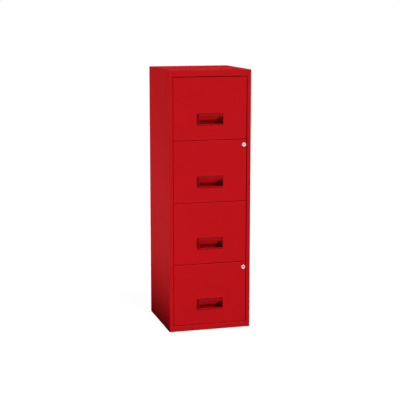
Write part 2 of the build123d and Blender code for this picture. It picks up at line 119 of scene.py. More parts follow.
class CabinetSizes(PropertyGroup):
    """Sizes of the folded sheet and of the small parts on the drawer fronts."""

    sheet: length("Sheet", "Thickness of the carcass and front sheet", 0.0008)
    tray_sheet: length("Tray sheet", "Thickness of the drawer trays", 0.0007)
    slide_steel: length("Slide steel", "Thickness of the slide channels", 0.0012)
    bend: length("Bend", "Outside radius of a fold", 0.0018)
    post_return: length("Post return", "Depth of the fold behind each front post", 0.015)
    rail_gap: length("Rail gap", "From a post's fold to the base rail's rear", 0.001)
    skirt_drop: length("Skirt drop", "From the lid to its skirts' lower edges", 0.0128)
    skirt_gap: length("Skirt gap", "From the lid's ends to its skirts", 0.02)
    rear_flange: length("Rear flange", "Width of the side panel's rear flange", 0.014)
    rail_fold: length("Rail fold", "Depth of the fold behind a front rail", 0.012)
    base_plate: length("Base plate", "Height of the base sheet's underside", 0.008)
    tray_lip: length("Tray lip", "Width of the hanging edge of a tray", 0.007)
    tray_hem: length("Tray hem", "Drop of the hanging edge", 0.006)
    tray_bend: length("Tray bend", "Outside radius of a tray's folds", 0.0016)
    back_fold: length("Back fold", "Depth of the fold on a tray's back", 0.012)
    grip_proud: length("Grip proud", "How far the grip's bezel stands off the front", 0.002)
    grip_wall: length("Grip wall", "Wall of the moulded grip", 0.0015)
    grip_edge: length("Grip edge", "Rounding of the grip's outer edge", 0.0012)
    grip_bow: length("Grip bow", "How far the grip's left end bulges", 0.003)
    inner_depth: length("Inner depth", "Depth of a slide's inner channel", 0.0083)
    member_step: length("Member step", "From the middle channel's back to the outer one's", 0.0025)
    mouth: length("Mouth", "From the tray to the mouth of the outer channels", 0.003)
    upright_places: FloatVectorProperty(
        name="Uprights",
        description="Where the uprights stand along the depth",
        default=(-0.15, 0.14),
        size=2,
        unit="LENGTH",
    )
    slide_bend: length("Slide bend", "Outside radius of a slide channel's edges", 0.0024)
    ball: length("Ball", "Radius of a bearing ball", 0.00105)
    ball_pitch: length("Ball pitch", "Distance between bearing balls", 0.009)
    fold_steps: IntProperty(name="Fold steps", description="Facets across a fold", default=5, min=2)


class CabinetColours(PropertyGroup):
    """Base colours of the finishes."""

    enamel: colour("Enamel", "Powder coat on all the sheet steel", (0.545, 0.0068, 0.0105))
    moulding: colour("Moulding", "Plastic of the recessed grips", (0.46, 0.0045, 0.0080))
    # Near-black nylon. Its red cast is painted light: red bounce from the grip's recess, put into the colour
    nylon: colour("Nylon", "Plastic of the catches and glides", (0.018, 0.0022, 0.0018))
    nickel: colour("Nickel", "Plate on the locks", (0.95, 0.90, 0.87))
    zinc: colour("Zinc", "Plate on the slides and brackets", (0.60, 0.61, 0.62))
    window: colour("Window", "Tint of the clear label strips", (0.45, 0.03, 0.035))
    floor: colour("Floor", "Studio floor", (0.90, 0.90, 0.90))


# Shells: a shell is its points, its four-sided faces and its many-sided end caps


def signed_volume(points, quads, caps):
    """Sum over all faces, cut into triangles, of the triple product of each triangle's corners."""
    fans = [quads[:, [0, 1, 2]], quads[:, [0, 2, 3]]]
    for cap in caps:
        cap = np.asarray(cap)
        first = np.full(len(cap) - 2, cap[0])
        fans.append(np.column_stack([first, cap[1:-1], cap[2:]]))
    a, b, c = (points[np.concatenate(fans)[:, k]] for k in range(3))
    return float(np.einsum("ij,ij->i", a, np.cross(b, c)).sum())


def closed_shell(points, quads, caps):
    """A shell whose faces point outwards: every face is turned round if its volume is negative."""
    middle = points.mean(axis=0)
    if signed_volume(points - middle, quads, caps) < 0:
        quads = quads[:, ::-1]
        caps = [np.asarray(cap)[::-1] for cap in caps]
    return points, quads, caps


def grid_quads(rows, columns, wrap_rows=False):
    """Faces of a grid of points whose columns always wrap round, and whose rows may."""
    last = rows if wrap_rows else rows - 1
    r, c = np.meshgrid(np.arange(last), np.arange(columns), indexing="ij")
    down, right = (r + 1) % rows, (c + 1) % columns
    faces = [r * columns + c, r * columns + right, down * columns + right, down * columns + c]
    return np.stack(faces, axis=-1).reshape(-1, 4)


def stacked(loops, ring=False):
    """A shell through closed loops of equal point counts. Its ends are capped, or joined into a ring."""
    loops = np.asarray(loops, float)
    rows, columns = loops.shape[:2]
    ends = [] if ring else [np.arange(columns), np.arange(columns) + (rows - 1) * columns]
    quads = grid_quads(rows, columns, wrap_rows=ring)
    caps = [ends[0][::-1], ends[1]] if ends else []
    return closed_shell(loops.reshape(-1, 3), quads, caps)


def mirrored(shell):
    """The shell on the other side of the cabinet: X changes sign and every face turns round."""
    points, quads, caps = shell
    return points * (-1, 1, 1), quads[:, ::-1], [np.asarray(cap)[::-1] for cap in caps]


def shifted(shell, offset):
    points, quads, caps = shell
    return points + np.asarray(offset), quads, caps


def both_sides(shells):
    return shells + [mirrored(shell) for shell in shells]


def placed(along, across, up, axis):
    """Points of a section drawn across an axis: 'along' lies on it, the others in X, Y, Z order."""
    order = {"X": (along, across, up), "Y": (across, along, up), "Z": (across, up, along)}[axis]
    return np.stack(np.broadcast_arrays(*order), axis=-1)


# Sheet metal


def rounded_path(points, thickness, bend, steps):
    """A folded line and its left-hand normals.

    Each corner becomes an arc of 'steps' facets, tangent to both runs: centre plus or minus the radius
    times the normal turned evenly from one run to the next. Where the line turns towards the sheet's
    thickness the radius is the outside one, and elsewhere the inside one. A guard point beside each arc
    keeps flats flat.
    """
    guard = tightest = 0.0002
    points = np.asarray(points, float)
    ways = np.diff(points, axis=0)
    ways /= np.linalg.norm(ways, axis=1)[:, None]
    normals = np.column_stack([-ways[:, 1], ways[:, 0]])
    line, left = [points[:1]], [normals[:1]]
    for corner, (d0, d1), n0 in zip(points[1:-1], zip(ways, ways[1:]), normals):
        turn = math.atan2(d0[0] * d1[1] - d0[1] * d1[0], d0 @ d1)
        radius = bend if turn > 0 else max(bend - thickness, tightest)
        reach = radius * math.tan(abs(turn) / 2)
        angle = np.linspace(0, turn, steps + 1)[:, None]
        normal = np.cos(angle) * n0 + np.sin(angle) * np.array([-n0[1], n0[0]])
        centre = corner - d0 * reach + n0 * radius * np.sign(turn)
        arc = centre - normal * radius * np.sign(turn)
        line += [arc[:1] - d0 * guard, arc, arc[-1:] + d1 * guard]
        left += [normal[:1], normal, normal[-1:]]
    line.append(points[-1:])
    left.append(normals[-1:])
    return np.concatenate(line), np.concatenate(left)


def folded_sheet(path, thickness, axis, low, high, bend=None):
    """Sheet folded along a path and carried along an axis: a four-cornered section, two corners on the path
    and two a thickness to its left, moved along the path."""
    sizes = bpy.context.scene.cabinet_sizes
    line, normal = rounded_path(path, thickness, bend or sizes.bend, sizes.fold_steps)
    other = line + normal * thickness
    corners_of_section = [(line, low), (line, high), (other, high), (other, low)]
    loops = [placed(along, p[:, 0], p[:, 1], axis) for p, along in corners_of_section]
    return stacked(np.stack(loops, axis=1))


def outline(x, z, radius, bow=0.0, steps=ARC_STEPS, side=SIDE_POINTS):
    """A rounded rectangle in X and Z, counter-clockwise from its upper left corner's start.

    Corners are quarter circles of 'steps' facets. The left side has 'side' more points. Every point but
    those on the right is moved to the right by the bow times the square of its share of the half height,
    so the left side bulges as a shallow arc.
    """
    radius = max(min(radius, (x[1] - x[0]) / 2.001, (z[1] - z[0]) / 2.001), 1e-6)
    quarter = np.linspace(0, math.pi / 2, steps + 1)
    middles = [(x[0], z[1], 1, -1), (x[0], z[0], 1, 1), (x[1], z[0], -1, 1), (x[1], z[1], -1, -1)]
    arcs = []
    for start, (cx, cz, sx, sz) in zip((1, 2, 3, 4), middles):
        turn = quarter + start * math.pi / 2
        arcs.append(np.column_stack([cx + radius * (sx + np.cos(turn)), cz + radius * (sz + np.sin(turn))]))
    fall = np.linspace(z[1] - radius, z[0] + radius, side + 2)[1:-1]
    left = np.column_stack([np.full(side, x[0]), fall])
    points = np.concatenate([arcs[0], left, *arcs[1:]])
    middle, half = (z[0] + z[1]) / 2, (z[1] - z[0]) / 2
    share = (x[1] - points[:, 0]) / (x[1] - x[0])
    points[:, 0] += bow * ((points[:, 1] - middle) / half) ** 2 * share
    return points


def seen_in_front(low, high, inset, radius, **points):
    """The outline of a box in X and Z, with its sides moved inwards."""
    x, z = (low[0] + inset, high[0] - inset), (low[2] + inset, high[2] - inset)
    return outline(x, z, radius, **points)


def at_depth(points, y):
    """Points drawn in X and Z, put at a depth."""
    return np.column_stack([points[:, 0], np.full(len(points), y), points[:, 1]])


def rolled_edge(radius, steps, turned=False):
    """Inset and drop along a quarter round, from the side to the face, or the other way if turned."""
    angle = np.linspace(0, math.pi / 2, steps + 1)
    inset, drop = radius * (1 - np.cos(angle)), radius * (1 - np.sin(angle))
    return list(zip(inset, drop))[:: -1 if turned else 1]


def with_windows(loop, spans):
    """An outline with two more points on its bottom, right and top sides, at shares of their length."""
    for start, span in zip(SIDE_STARTS[::-1], spans[::-1]):
        first, last = loop[start], loop[(start + 1) % len(loop)]
        loop = np.insert(loop, start + 1, [first + (last - first) * share for share in span], axis=0)
    return loop


def pierced(shell, columns, row, behind, side):
    """A ring of outlines with a window through its fold.

    The facet between a row and the next, and between the two points that with_windows put on a side, is
    taken out, and so is the facet that lies behind it. Each corner and its partner behind have the same
    column, and the rows behind run the other way. Four faces join the corners to their partners.
    """
    points, quads, caps = shell
    start = row * columns + SIDE_STARTS[side] + 1 + 2 * side
    partner = {}
    for step in (0, 1):
        for corner in (start, start + 1):
            partner[corner + step * columns] = corner + (behind - row - step) * columns
    outer, inner = (np.isin(quads, list(group)).all(axis=1) for group in (partner.keys(), partner.values()))
    facet = quads[outer][0].tolist()
    sides = [(a, b, partner[b], partner[a]) for a, b in zip(facet, facet[1:] + facet[:1])]
    return points, np.concatenate([quads[~(outer | inner)], sides]), caps


def turned_part(centre, profile, steps=48):
    """Circles about an axis along Y, one for each profile point, which is a radius and a Y."""
    angle = np.arange(steps) * (2 * math.pi / steps)
    loops = [
        np.column_stack([centre[0] + r * np.cos(angle), np.full(steps, y), centre[1] + r * np.sin(angle)])
        for r, y in profile
    ]
    return np.array(loops)


def slab(low, high, edge):
    """A block with rolled edges: rounded rectangles in X and Z, stacked along Y."""
    rows = [(inset, low[1] + drop) for inset, drop in rolled_edge(edge, 2, turned=True)]
    rows += [(inset, high[1] - drop) for inset, drop in rolled_edge(edge, 2)]
    return stacked([at_depth(seen_in_front(low, high, inset, edge, steps=2, side=0), y) for inset, y in rows])


def ball(centre, radius):
    """A small sphere: circles of a few points at five latitudes, with small caps."""
    around = 8
    angle = np.arange(around) * (2 * math.pi / around)
    circle = np.column_stack([np.cos(angle), np.sin(angle)])
    latitudes = (-1.3, -0.6, 0.0, 0.6, 1.3)
    loops = [np.column_stack([np.cos(a) * circle, np.full(around, np.sin(a))]) for a in latitudes]
    return shifted(stacked(np.array(loops) * radius), centre)


def inset_polygon(points, inset, radius, steps=5):
    """A polygon with its sides moved inwards and its corners turned into arcs tangent to both sides."""
    turn = 1 if signed_area(points) > 0 else -1
    ways = np.roll(points, -1, axis=0) - points
    ways /= np.linalg.norm(ways, axis=1)[:, None]
    inward = np.column_stack([-ways[:, 1], ways[:, 0]]) * turn
    arcs = []
    before = np.roll(ways, 1, axis=0), np.roll(inward, 1, axis=0)
    for corner, d0, n0, d1, n1 in zip(points, *before, ways, inward):
        bend = math.atan2(d0[0] * d1[1] - d0[1] * d1[0], d0 @ d1)
        centre = corner + (n0 + n1) * (inset + radius) / (1 + n0 @ n1)
        angle = np.linspace(0, bend, steps + 1)[:, None]
        arcs.append(centre - radius * (np.cos(angle) * n0 + np.sin(angle) * np.array([-n0[1], n0[0]])))
    return np.concatenate(arcs)


def signed_area(points):
    """Half the sum of the cross products of neighbouring corners."""
    following = np.roll(points, -1, axis=0)
    return float((points[:, 0] * following[:, 1] - points[:, 1] * following[:, 0]).sum() / 2)


# Meshes


def piece(name, shells, body, slot, node, finish=None):
    """A mesh of one or more shells that rides on a body and stands for a CAD node."""
    counts = np.cumsum([0] + [len(points) for points, _, _ in shells])
    points = np.concatenate([points for points, _, _ in shells])
    faces = []
    for start, (_, quads, caps) in zip(counts, shells):
        faces += (quads + start).tolist()
        faces += [(np.asarray(cap) + start).tolist() for cap in caps]
    mesh = bpy.data.meshes.new(name)
    mesh.from_pydata(points.tolist(), [], faces)
    mesh.validate()
    mesh.shade_smooth()
    mesh.set_sharp_from_angle(angle=SHARP_ANGLE)
    mesh.materials.append(material_of(finish or slot))
    made = bpy.data.objects.new(name, mesh)
    bpy.context.scene.collection.objects.link(made)
    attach(made, body)
    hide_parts(node)


def repaint(node, finish):
    """Gives a carried-over CAD node its finish."""
    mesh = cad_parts[node].data
    mesh.materials.clear()
    mesh.materials.append(material_of(finish))


# Finishes


class Value:
    """A node socket that takes part in Python expressions. Each operator adds one Math node."""

    def __init__(self, tree, socket):
        self.tree = tree
        self.socket = socket

    def joined(self, operation, first, second):
        node = self.tree.nodes.new("ShaderNodeMath")
        node.operation = operation
        for socket, value in zip(node.inputs, (first, second)):
            if isinstance(value, Value):
                self.tree.links.new(value.socket, socket)
            else:
                socket.default_value = value
        return Value(self.tree, node.outputs[0])

    def __add__(self, other):
        return self.joined("ADD", self, other)

    def __radd__(self, other):
        return self.joined("ADD", other, self)

    def __mul__(self, other):
        return self.joined("MULTIPLY", self, other)

    def __rmul__(self, other):
        return self.joined("MULTIPLY", other, self)


class Finish:
    """The nodes of a material or a world, with one method that adds any node."""

    def __init__(self, holder):
        holder.use_nodes = True
        self.holder = holder
        self.tree = holder.node_tree
        self.tree.nodes.clear()

    def node(self, kind, settings=None, inputs=None, output=0):
        made = self.tree.nodes.new(kind)
        for key, value in (settings or {}).items():
            setattr(made, key, value)
        for key, value in (inputs or {}).items():
            if isinstance(value, Value):
                self.tree.links.new(value.socket, made.inputs[key])
            else:
                made.inputs[key].default_value = value
        return None if output is None else Value(self.tree, made.outputs[output])

    def place(self):
        return self.node("ShaderNodeTexCoord", output="Object")

    def stretched(self, scale):
        return self.node("ShaderNodeMapping", inputs={"Vector": self.place(), "Scale": scale})

    def part(self, axis, vector=None):
        """One coordinate of a vector, or of the place on the piece."""
        return self.node("ShaderNodeSeparateXYZ", inputs={"Vector": vector or self.place()}, output=axis)

    def ramp(self, value, start, end):
        """Nought up to the start, one beyond the end, and even in between."""
        return self.node("ShaderNodeMapRange", {"clamp": True}, {"Value": value, 1: start, 2: end})

    def noise(self, scale, detail=3.0, roughness=0.5, vector=None):
        where = vector or self.place()
        inputs = {"Vector": where, "Scale": scale, "Detail": detail, "Roughness": roughness}
        return self.node("ShaderNodeTexNoise", inputs=inputs)

    def cells(self, scale):
        inputs = {"Vector": self.place(), "Scale": scale}
        return self.node("ShaderNodeTexVoronoi", inputs=inputs, output="Distance")

    def mixed(self, share, first, second):
        """Colour between two colours."""
        inputs = {"Factor": share, 6: first, 7: second}
        return self.node("ShaderNodeMix", {"data_type": "RGBA"}, inputs, output=2)

    def bump(self, height, distance, strength=1.0):
        inputs = {"Height": height, "Distance": distance, "Strength": strength}
        return self.node("ShaderNodeBump", inputs=inputs)

    def surface(self, **inputs):
        """Ends the material with a Principled shader. Underscores in the names stand for spaces."""
        named = {key.replace("_", " "): value for key, value in inputs.items()}
        return self.finished(self.node("ShaderNodeBsdfPrincipled", inputs=named))

    def path(self, output):
        return self.node("ShaderNodeLightPath", output=output)

    def chosen(self, ray, other, shader):
        """One shader for rays of a kind, and another for the rest."""
        return self.node("ShaderNodeMixShader", inputs={0: self.path(ray), 1: other, 2: shader})

    def finished(self, shader, kind="ShaderNodeOutputMaterial"):
        self.node(kind, inputs={"Surface": shader}, output=None)
        return self.holder


def tint(base, factor):
    """A colour with every channel scaled, as four numbers."""
    return tuple(min(channel * factor, 1.0) for channel in base) + (1.0,)


def enamel(finish):
    """Powder coat: fine orange peel, a slow drift in depth of colour, and gloss that breaks up a little."""
    base = bpy.context.scene.cabinet_colours.enamel
    drift = finish.noise(5.0, detail=2.0)
    speckle = finish.noise(900.0, detail=2.0)
    peel = finish.noise(420.0, detail=2.0, roughness=0.45)
    wave = finish.noise(60.0, detail=1.0)
    paint = finish.mixed(drift * 0.75 + speckle * 0.25, tint(base, 0.93), tint(base, 1.05))
    gloss = 0.36 + 0.10 * speckle + 0.08 * drift
    normal = finish.bump(peel * 0.7 + wave * 0.3, 0.00012, 0.55)
    return finish.surface(Base_Color=paint, Roughness=gloss, Normal=normal, Specular_IOR_Level=0.04)


def moulding(finish):
    """Moulded plastic: spark-eroded grain, faint flow marks, and painted shade that darkens it deep in the
    recess.
    """
    base = bpy.context.scene.cabinet_colours.moulding
    face = corners("drawer_1_front")[0][1]
    # Painted shade mask: nought in front of the first depth, one beyond the second
    deep = finish.ramp(finish.part("Y"), *(face + depth for depth in RECESS_PAINTED_SHADE))
    grain = finish.noise(1500.0, detail=2.0)
    flow = finish.noise(25.0, detail=3.0)
    rim = finish.mixed(flow, tint(base, 0.92), tint(base, 1.06))
    # Painted shade: the plastic turns darker deep in the recess, where shade falls
    plastic = finish.mixed(deep, rim, tint(base, 0.58))
    normal = finish.bump(grain, 0.00008, 0.6)
    return finish.surface(
        Base_Color=plastic, Roughness=0.42 + 0.12 * grain, Normal=normal, Specular_IOR_Level=0.04
    )


def nylon(finish):
    """Black nylon with a soft grain and paler rubbed patches."""
    # The base colour's red cast is painted red bounce light, not the nylon's own tone
    base = bpy.context.scene.cabinet_colours.nylon
    grain = finish.noise(1100.0, detail=2.0)
    rubbed = finish.noise(90.0, detail=4.0)
    plastic = finish.mixed(rubbed, tint(base, 0.8), tint(base, 1.7))
    normal = finish.bump(grain, 0.00006, 0.5)
    return finish.surface(
        Base_Color=plastic, Roughness=0.5 + 0.15 * rubbed, Normal=normal, Specular_IOR_Level=0.05
    )


def nickel(finish, depth=1.0):
    """Nickel plate: fine turned lines and a slightly warm, uneven tone."""
    base = bpy.context.scene.cabinet_colours.nickel
    lines = finish.noise(1.0, detail=3.0, vector=finish.stretched((2600.0, 2600.0, 260.0)))
    cloud = finish.noise(240.0, detail=3.0)
    plate = finish.mixed(cloud, tint(base, 0.92 * depth), tint(base, 1.05 * depth))
    normal = finish.bump(lines, 0.00002, 0.5)
    return finish.surface(Base_Color=plate, Metallic=1.0, Roughness=0.30 + 0.14 * lines, Normal=normal)


def zinc(finish):
    """Bright zinc: small crystals of slightly different tone, with rolling lines along the strip."""
    base = bpy.context.scene.cabinet_colours.zinc
    crystals = finish.cells(180.0)
    lines = finish.noise(1.0, detail=2.0, vector=finish.stretched((500.0, 20.0, 900.0)))
    plate = finish.mixed(crystals * 0.8 + lines * 0.3, tint(base, 1.08), tint(base, 0.82))
    normal = finish.bump(lines, 0.00003, 0.4)
    return finish.surface(Base_Color=plate, Metallic=1.0, Roughness=0.26 + 0.2 * lines, Normal=normal)


def window(finish):
    """Clear strip: polished, faintly scratched and tinted by what lies behind it."""
    base = bpy.context.scene.cabinet_colours.window
    scratches = finish.noise(1.0, detail=3.0, vector=finish.stretched((90.0, 400.0, 1500.0)))
    clear = finish.mixed(scratches, tint(base, 0.95), tint(base, 1.1))
    return finish.surface(
        Base_Color=clear, Roughness=0.10 + 0.14 * scratches, Alpha=0.14, Specular_IOR_Level=0.08
    )


# Each finish by its slot, or by a name of its own: the material's name and the function that makes it
FINISHES = {
    "red_enamel": ("red_powder_coat", enamel),
    "red_moulding": ("red_moulded_plastic", moulding),
    "black_nylon": ("black_nylon_plastic", nylon),
    "nickel": ("nickel_plate", nickel),
    "satin": ("satin_nickel", lambda finish: nickel(finish, 0.66)),
    "zinc_steel": ("zinc_plate", zinc),
    "clear_strip": ("clear_plastic", window),
}


def material_of(finish):
    """The material of a finish, made the first time it is asked for."""
    name, make = FINISHES[finish]
    return bpy.data.materials.get(name) or make(Finish(bpy.data.materials.new(name)))


# Operators


class CABINET_OT_carcass(Operator):
    """Folds the side panels, lid, base and back from rounded sheet"""

    bl_idname = "cabinet.carcass"
    bl_label = "Carcass"

    def execute(self, context):
        sizes = context.scene.cabinet_sizes
        side = self.side_panel(sizes)
        piece("right_side", [side], "cabinet", "red_enamel", "right_side_panel")
        piece("left_side", [mirrored(side)], "cabinet", "red_enamel", "left_side_panel")
        piece("lid", self.lid(sizes), "cabinet", "red_enamel", "top_panel")
        piece("base", self.base(sizes), "cabinet", "red_enamel", "base_panel")
        piece("back", [self.back(sizes)], "cabinet", "red_enamel", "back_panel")
        return {"FINISHED"}

    def side_panel(self, sizes):
        low, high = corners("right_side_panel")
        path = (
            (low[0], low[1] + sizes.post_return),
            (low[0], low[1]),
            (high[0], low[1]),
            (high[0], high[1]),
            (high[0] - sizes.rear_flange, high[1]),
        )
        return folded_sheet(path, sizes.sheet, "Z", low[2], high[2])

    def lid(self, sizes):
        """Plate with a quarter-round upper edge, over a folded rail and two skirts."""
        low, high = corners("top_panel")
        post = corners("right_side_panel")[0][0]
        roll = sizes.sheet * 0.9
        rows = [(sizes.bend, 0.0, high[2] - sizes.sheet), (0.0, 0.0, high[2] - sizes.sheet)]
        rows += [(0.0, inset, high[2] - drop) for inset, drop in rolled_edge(roll, sizes.fold_steps)]
        rows.append((0.0, roll + sizes.bend, high[2]))
        loops = []
        for inner, inset, height in rows:
            grow = inner + inset
            x, y = (low[0] + grow, high[0] - grow), (low[1] + grow, high[1] - grow)
            edge = outline(x, y, sizes.bend - inset / 2)
            loops.append(np.column_stack([edge, np.full(len(edge), height)]))
        rail_path = (
            (low[1] + sizes.rail_fold, low[2] + sizes.sheet),
            (low[1] + sizes.sheet, low[2] + sizes.sheet),
            (low[1] + sizes.sheet, high[2] - sizes.sheet),
        )
        rail = folded_sheet(rail_path, sizes.sheet, "X", -post, post)
        wall = high[0] - sizes.sheet
        skirt_path = ((wall, high[2] - sizes.skirt_drop), (wall, high[2] - sizes.sheet))
        ends = (low[1] + sizes.skirt_gap, high[1] - sizes.skirt_gap)
        skirt = folded_sheet(skirt_path, sizes.sheet, "Y", *ends)
        return [stacked(loops), rail, skirt, mirrored(skirt)]

    def base(self, sizes):
        """Boxed front rail, floor sheet, and flanges down to the sides' lower edges."""
        low, high = corners("base_panel")
        post = corners("right_side_panel")[0][0]
        start = low[1] + sizes.post_return + sizes.rail_gap
        rail_path = (
            (start, sizes.base_plate),
            (start, high[2]),
            (low[1], high[2]),
            (low[1], low[2]),
            (low[1] + sizes.rail_fold, low[2]),
        )
        rail = folded_sheet(rail_path, sizes.sheet, "X", -post, post)
        floor_path = (
            (low[0], low[2]),
            (low[0], sizes.base_plate + sizes.sheet),
            (high[0], sizes.base_plate + sizes.sheet),
            (high[0], low[2]),
        )
        ends = (start - sizes.sheet, high[1] - 2 * sizes.sheet)
        floor = folded_sheet(floor_path[::-1], sizes.sheet, "Y", *ends)
        rear_path = ((high[1], sizes.base_plate), (high[1], low[2]))
        rear = folded_sheet(rear_path[::-1], sizes.sheet, "X", low[0], high[0])
        return [rail, floor, rear]

    def back(self, sizes):
        """Flat sheet with rounded corners and edges."""
        low, high = corners("back_panel")
        edges = rolled_edge(sizes.sheet / 2, 2)
        loops = [(seen_in_front(low, high, inset, sizes.bend), drop) for inset, drop in edges]
        front = [at_depth(edge, low[1] + drop) for edge, drop in loops]
        rear = [at_depth(edge, high[1] - drop) for edge, drop in loops]
        return stacked(front[::-1] + rear)


class CABINET_OT_fronts(Operator):
    """Presses the hollow drawer fronts, with rolled edges and a hole for the grip"""

    bl_idname = "cabinet.fronts"
    bl_label = "Drawer fronts"

    def execute(self, context):
        sizes = context.scene.cabinet_sizes
        for n in DRAWERS:
            shell = self.front(sizes, n)
            piece(f"front_{n}", [shell], f"drawer_{n}", "red_enamel", f"drawer_{n}_front")
        return {"FINISHED"}

    def front(self, sizes, n):
        """Ring of rounded rectangles: out of the hole, over the face, round the outer fold and back inside.

        Windows in the folds let the lock's cam turn: two in a front with a lock, one in the front above it.
        """
        low, high = corners(f"drawer_{n}_front")
        face, sheet, bend = low[1], sizes.sheet, sizes.bend
        near, far = (face + depth for depth in CAM_PLANE)
        rows = [(inset, face + drop) for inset, drop in rolled_edge(bend, sizes.fold_steps, turned=True)]
        rows = [(bend + FACE_EDGE, face), *rows, (0.0, near), (0.0, far), (0.0, high[1])]
        inside = [(sheet, high[1]), (sheet, far), (sheet, near)]
        for inset, drop in rolled_edge(bend - sheet, sizes.fold_steps):
            inside.append((inset + sheet, face + sheet + drop))
        inside.append((bend + FACE_EDGE, face + sheet))
        hole = seen_in_front(*corners(f"drawer_{n}_handle"), GRIP_LAP, HOLE_CORNER)
        loops = [at_depth(hole, face + sheet), at_depth(hole, face)]
        near_row = len(loops) + rows.index((0.0, near))
        for inset, depth in rows + inside:
            loops.append(at_depth(seen_in_front(low, high, inset, FRONT_CORNER - inset), depth))
        near_row_inside = near_row + 5  # past the far row, the fold's edge, and both again inside
        spans = self.window_spans(low, high)
        shell = stacked([with_windows(loop, spans) for loop in loops], ring=True)
        columns = len(loops[0]) + 2 * len(spans)
        for side in (RIGHT, TOP) if n in LOCKS.values() else (BOTTOM,):
            shell = pierced(shell, columns, near_row, near_row_inside, side)
        return shell

    def window_spans(self, low, high):
        """Ends of the windows on the bottom, right and top sides, as shares of the sides' straight parts."""
        plug_low, plug_high = corners("upper_lock_plug")
        lock_x = (plug_low[0] + plug_high[0]) / 2
        lock_drop = corners("drawer_2_front")[1][2] - (plug_low[2] + plug_high[2]) / 2
        wide, tall = high[0] - low[0] - 2 * FRONT_CORNER, high[2] - low[2] - 2 * FRONT_CORNER
        bottom = [(lock_x + x - low[0] - FRONT_CORNER) / wide for x in LONG_SWEEP]
        right = [(tall + FRONT_CORNER - lock_drop + z) / tall for z in SHORT_SWEEP]
        return bottom, right, [1 - share for share in bottom[::-1]]


class CABINET_OT_trays(Operator):
    """Folds the drawer trays and their backs, and finishes the walls behind the fronts"""

    bl_idname = "cabinet.trays"
    bl_label = "Trays"

    def execute(self, context):
        sizes = context.scene.cabinet_sizes
        for n in DRAWERS:
            name = f"drawer_{n}"
            piece(f"tray_{n}", [self.tray(sizes, n)], name, "red_enamel", f"{name}_tray")
            piece(f"tray_back_{n}", [self.back(sizes, n)], name, "red_enamel", f"{name}_back")
            repaint(f"{name}_wall", "red_enamel")
        return {"FINISHED"}

    def tray(self, sizes, n):
        """One sheet from hem to hem: hanging edge, side, floor, side and hanging edge."""
        low, high = corners(f"drawer_{n}_tray")
        side = high[0] - sizes.tray_lip
        lip_low = high[2] - sizes.tray_hem
        half = ((high[0], lip_low), (high[0], high[2]), (side - sizes.tray_sheet, high[2]))
        right = [*half, (side - sizes.tray_sheet, low[2] + sizes.tray_sheet)]
        path = right + [(-x, z) for x, z in right[::-1]]
        return folded_sheet(path, sizes.tray_sheet, "Y", low[1], high[1], bend=sizes.tray_bend)

    def back(self, sizes, n):
        low, high = corners(f"drawer_{n}_back")
        path = ((high[1], low[2]), (high[1], high[2]), (high[1] - sizes.back_fold, high[2]))
        return folded_sheet(path, sizes.tray_sheet, "X", low[0], high[0])


class CABINET_OT_slides(Operator):
    """Rolls the three members of every drawer slide and fills their cages with balls"""

    bl_idname = "cabinet.slides"
    bl_label = "Slides"

    def execute(self, context):
        sizes = context.scene.cabinet_sizes
        for n in DRAWERS:
            inner = corners(f"drawer_{n}_rails")
            middle = corners(f"drawer_{n}_middle_rails")
            outer = corners(f"drawer_{n}_cabinet_rails")
            side = inner[1][0] - sizes.inner_depth
            mouth = side + sizes.mouth
            back = middle[1][0] + sizes.member_step
            inner_shells = [self.channel(sizes, side, inner[1][0], *inner)]
            middle_shells = [self.channel(sizes, middle[1][0], mouth, *middle)]
            middle_shells += self.cages(sizes, inner, middle)
            outer_shells = [self.channel(sizes, back, mouth, *outer)]
            outer_shells += self.hooks(sizes, back, inner, outer)
            for member, shells, body, node in (
                ("inner", inner_shells, f"drawer_{n}", "rails"),
                ("middle", middle_shells, f"slide_{n}", "middle_rails"),
                ("outer", outer_shells, "cabinet", "cabinet_rails"),
            ):
                piece(f"{member}_slides_{n}", both_sides(shells), body, "zinc_steel", f"drawer_{n}_{node}")
        return {"FINISHED"}

    def channel(self, sizes, back, mouth, low, high):
        """Rounded channel: web at 'back', flanges to 'mouth', between the box's lower and upper edges."""
        path = [(mouth, low[2]), (back, low[2]), (back, high[2]), (mouth, high[2])]
        if mouth > back:
            path.reverse()
        return folded_sheet(path, sizes.slide_steel, "Y", low[1], high[1], bend=sizes.slide_bend)

    def cages(self, sizes, inner, middle):
        """Strips between neighbouring members, each with a row of balls at an even pitch."""
        (low, high), middle_high = inner, middle[1]
        centre_y, centre_z = (low[1] + high[1]) / 2, (low[2] + high[2]) / 2
        x = high[0] - sizes.inner_depth * 0.28
        end_gap, middle_gap, ball_gap = 0.003, 0.005, 0.003
        half_wide, half_thick, edge = 0.002, 0.0004, 0.0002
        inner_z = (high[2] + middle_high[2] - sizes.slide_steel) / 2 - centre_z
        outer_z = inner_z + middle_high[2] - high[2]
        front_span = (low[1] + end_gap, centre_y - middle_gap)
        rear_span = (centre_y + middle_gap, high[1] - end_gap)
        shells = []
        for rise, (start, end) in ((inner_z, front_span), (outer_z, rear_span)):
            count = int((end - start - 2 * ball_gap) / sizes.ball_pitch) + 1
            rows = (start + end) / 2 + (np.arange(count) - (count - 1) / 2) * sizes.ball_pitch
            for z in (centre_z - rise, centre_z + rise):
                strip = (x - half_wide, start, z - half_thick), (x + half_wide, end, z + half_thick)
                shells.append(slab(*strip, edge))
                shells += [ball((x, y, z), sizes.ball) for y in rows]
        return shells

    def hooks(self, sizes, back, inner, outer):
        """Hooks behind the web, one pair to an upright: a neck through the slot and a lip behind it."""
        centre = (inner[0][2] + inner[1][2]) / 2
        end = outer[1][0]
        pair_half, half_wide, neck_half, lip_drop = 0.010, 0.005, 0.003, 0.008
        sunk, edge = 0.0002, 0.0003
        shells = []
        for y in sizes.upright_places:
            for z in (centre - pair_half, centre + pair_half):
                neck = (back - sunk, z - neck_half, z + neck_half)
                lip = (end - sizes.slide_steel, z - lip_drop, z)
                for start, bottom, top in (neck, lip):
                    shells.append(slab((start, y - half_wide, bottom), (end, y + half_wide, top), edge))
        return shells


